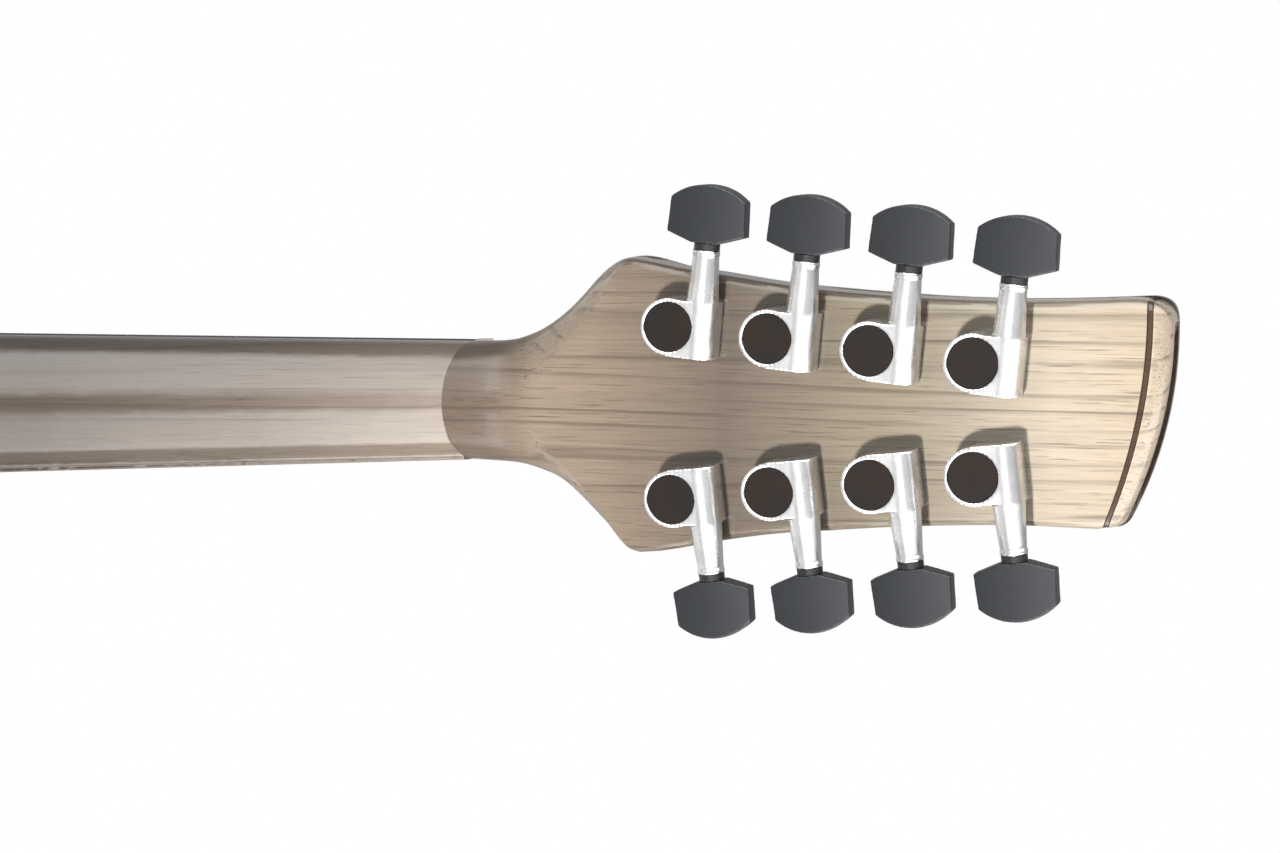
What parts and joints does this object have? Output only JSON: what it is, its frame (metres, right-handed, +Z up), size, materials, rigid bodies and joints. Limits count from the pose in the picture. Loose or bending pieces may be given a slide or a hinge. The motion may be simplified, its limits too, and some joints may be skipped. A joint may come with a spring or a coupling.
{
  "type": "bouzouki",
  "caption": "Flat-backed long-necked lute with paired courses, a slanted headstock with sealed geared machine heads, a floating bridge and a tailpiece.",
  "frame": {"origin": "centre line of the neck, where the nut's front face meets the underside of the fingerboard; a hanger's yoke holds the neck here", "axes": "+Z up the neck towards the head, -Y out of the soundboard, +X to the treble side"},
  "size_m": [0.36, 0.0967, 0.9939],
  "materials": {
    "neck_wood": "clear gloss lacquer over open-grained grey-brown wood",
    "veneer": "dark gloss veneer",
    "ebony": "satin",
    "bone": "polished bone",
    "fret_wire": "polished",
    "pearl": "polished",
    "steel": "plain steel",
    "brass": "machined",
    "satin_chrome": "satin",
    "cover_plastic": "gloss",
    "black_plastic": "satin",
    "button_plastic": "satin",
    "spruce": "gloss lacquer",
    "brace_spruce": "bare",
    "block_wood": "bare",
    "binding_wood": "gloss",
    "string_metal": "bright",
    "tail_metal": "satin"
  },
  "bodies": {
    "instrument": {"neck_shaft": "neck_wood", "headstock": "neck_wood", "headplate": "veneer", "nut": "bone", "fingerboard": "ebony", "frets": "fret_wire", "fret_markers": "pearl", "truss_rod": "steel", "truss_rod_cover": "veneer", "cover_screws": "brass", "soundboard": "spruce", "rosette": "binding_wood", "back": "neck_wood", "binding": "binding_wood", "sides": "neck_wood", "neck_block": "block_wood", "tail_block": "block_wood", "neck_bolts": "steel", "linings": "brace_spruce", "top_braces": "brace_spruce", "back_braces": "brace_spruce", "heel_cap": "veneer", "end_pin": "ebony", "strings": "string_metal", "bridge": "ebony", "saddle": "bone", "tailpiece": "tail_metal", "tailpiece_screws": "tail_metal", "tuner_housings_treble": "satin_chrome", "tuner_housings_bass": "satin_chrome", "tuner_covers": "cover_plastic", "tuner_collars": "black_plastic", "tuner_bushings": "satin_chrome", "tuner_washers": "satin_chrome"},
    "truss_nut": {"truss_rod_nut": "brass"},
    "button_treble_1": {"tuner_worm_treble_1": "steel", "tuner_button_treble_1": "button_plastic"},
    "post_treble_1": {"string_post_treble_1": "satin_chrome"},
    "button_treble_2": {"tuner_worm_treble_2": "steel", "tuner_button_treble_2": "button_plastic"},
    "post_treble_2": {"string_post_treble_2": "satin_chrome"},
    "button_treble_3": {"tuner_worm_treble_3": "steel", "tuner_button_treble_3": "button_plastic"},
    "post_treble_3": {"string_post_treble_3": "satin_chrome"},
    "button_treble_4": {"tuner_worm_treble_4": "steel", "tuner_button_treble_4": "button_plastic"},
    "post_treble_4": {"string_post_treble_4": "satin_chrome"},
    "button_bass_1": {"tuner_worm_bass_1": "steel", "tuner_button_bass_1": "button_plastic"},
    "post_bass_1": {"string_post_bass_1": "satin_chrome"},
    "button_bass_2": {"tuner_worm_bass_2": "steel", "tuner_button_bass_2": "button_plastic"},
    "post_bass_2": {"string_post_bass_2": "satin_chrome"},
    "button_bass_3": {"tuner_worm_bass_3": "steel", "tuner_button_bass_3": "button_plastic"},
    "post_bass_3": {"string_post_bass_3": "satin_chrome"},
    "button_bass_4": {"tuner_worm_bass_4": "steel", "tuner_button_bass_4": "button_plastic"},
    "post_bass_4": {"string_post_bass_4": "satin_chrome"}
  },
  "joints": [
    {"name": "button_treble_1_turn", "type": "hinge", "parent": "instrument", "child": "button_treble_1", "pos_m": [0.02259, 0.03731, 0.06782], "axis": [0.9947, 0.0248, 0.0996], "continuous": true},
    {"name": "post_treble_1_turn", "type": "hinge", "parent": "instrument", "child": "post_treble_1", "pos_m": [0.0234, 0.03027, 0.06147], "axis": [0, 0.9703, -0.2419], "continuous": true},
    {"name": "button_treble_2_turn", "type": "hinge", "parent": "instrument", "child": "button_treble_2", "pos_m": [0.01974, 0.04399, 0.09461], "axis": [0.9947, 0.0248, 0.0996], "continuous": true},
    {"name": "post_treble_2_turn", "type": "hinge", "parent": "instrument", "child": "post_treble_2", "pos_m": [0.02055, 0.03695, 0.08826], "axis": [0, 0.9703, -0.2419], "continuous": true},
    {"name": "button_treble_3_turn", "type": "hinge", "parent": "instrument", "child": "button_treble_3", "pos_m": [0.01689, 0.05067, 0.1214], "axis": [0.9947, 0.0248, 0.0996], "continuous": true},
    {"name": "post_treble_3_turn", "type": "hinge", "parent": "instrument", "child": "post_treble_3", "pos_m": [0.0177, 0.04363, 0.11505], "axis": [0, 0.9703, -0.2419], "continuous": true},
    {"name": "button_treble_4_turn", "type": "hinge", "parent": "instrument", "child": "button_treble_4", "pos_m": [0.01404, 0.05735, 0.14819], "axis": [0.9947, 0.0248, 0.0996], "continuous": true},
    {"name": "post_treble_4_turn", "type": "hinge", "parent": "instrument", "child": "post_treble_4", "pos_m": [0.01485, 0.05031, 0.14184], "axis": [0, 0.9703, -0.2419], "continuous": true},
    {"name": "button_bass_1_turn", "type": "hinge", "parent": "instrument", "child": "button_bass_1", "pos_m": [-0.02259, 0.03731, 0.06782], "axis": [-0.9947, 0.0248, 0.0996], "continuous": true},
    {"name": "post_bass_1_turn", "type": "hinge", "parent": "instrument", "child": "post_bass_1", "pos_m": [-0.0234, 0.03027, 0.06147], "axis": [0, 0.9703, -0.2419], "continuous": true},
    {"name": "button_bass_2_turn", "type": "hinge", "parent": "instrument", "child": "button_bass_2", "pos_m": [-0.01974, 0.04399, 0.09461], "axis": [-0.9947, 0.0248, 0.0996], "continuous": true},
    {"name": "post_bass_2_turn", "type": "hinge", "parent": "instrument", "child": "post_bass_2", "pos_m": [-0.02055, 0.03695, 0.08826], "axis": [0, 0.9703, -0.2419], "continuous": true},
    {"name": "button_bass_3_turn", "type": "hinge", "parent": "instrument", "child": "button_bass_3", "pos_m": [-0.01689, 0.05067, 0.1214], "axis": [-0.9947, 0.0248, 0.0996], "continuous": true},
    {"name": "post_bass_3_turn", "type": "hinge", "parent": "instrument", "child": "post_bass_3", "pos_m": [-0.0177, 0.04363, 0.11505], "axis": [0, 0.9703, -0.2419], "continuous": true},
    {"name": "button_bass_4_turn", "type": "hinge", "parent": "instrument", "child": "button_bass_4", "pos_m": [-0.01404, 0.05735, 0.14819], "axis": [-0.9947, 0.0248, 0.0996], "continuous": true},
    {"name": "post_bass_4_turn", "type": "hinge", "parent": "instrument", "child": "post_bass_4", "pos_m": [-0.01485, 0.05031, 0.14184], "axis": [0, 0.9703, -0.2419], "continuous": true},
    {"name": "truss_nut_turn", "type": "hinge", "parent": "instrument", "child": "truss_nut", "pos_m": [0, 0.0074, 0.012], "axis": [0, 0, 1], "range_deg": [-180, 180]}
  ],
  "couplings": [
    {"joint": "post_treble_1_turn", "follows": "button_treble_1_turn", "ratio": -0.071429},
    {"joint": "post_treble_2_turn", "follows": "button_treble_2_turn", "ratio": -0.071429},
    {"joint": "post_treble_3_turn", "follows": "button_treble_3_turn", "ratio": -0.071429},
    {"joint": "post_treble_4_turn", "follows": "button_treble_4_turn", "ratio": -0.071429},
    {"joint": "post_bass_1_turn", "follows": "button_bass_1_turn", "ratio": 0.071429},
    {"joint": "post_bass_2_turn", "follows": "button_bass_2_turn", "ratio": 0.071429},
    {"joint": "post_bass_3_turn", "follows": "button_bass_3_turn", "ratio": 0.071429},
    {"joint": "post_bass_4_turn", "follows": "button_bass_4_turn", "ratio": 0.071429}
  ]
}
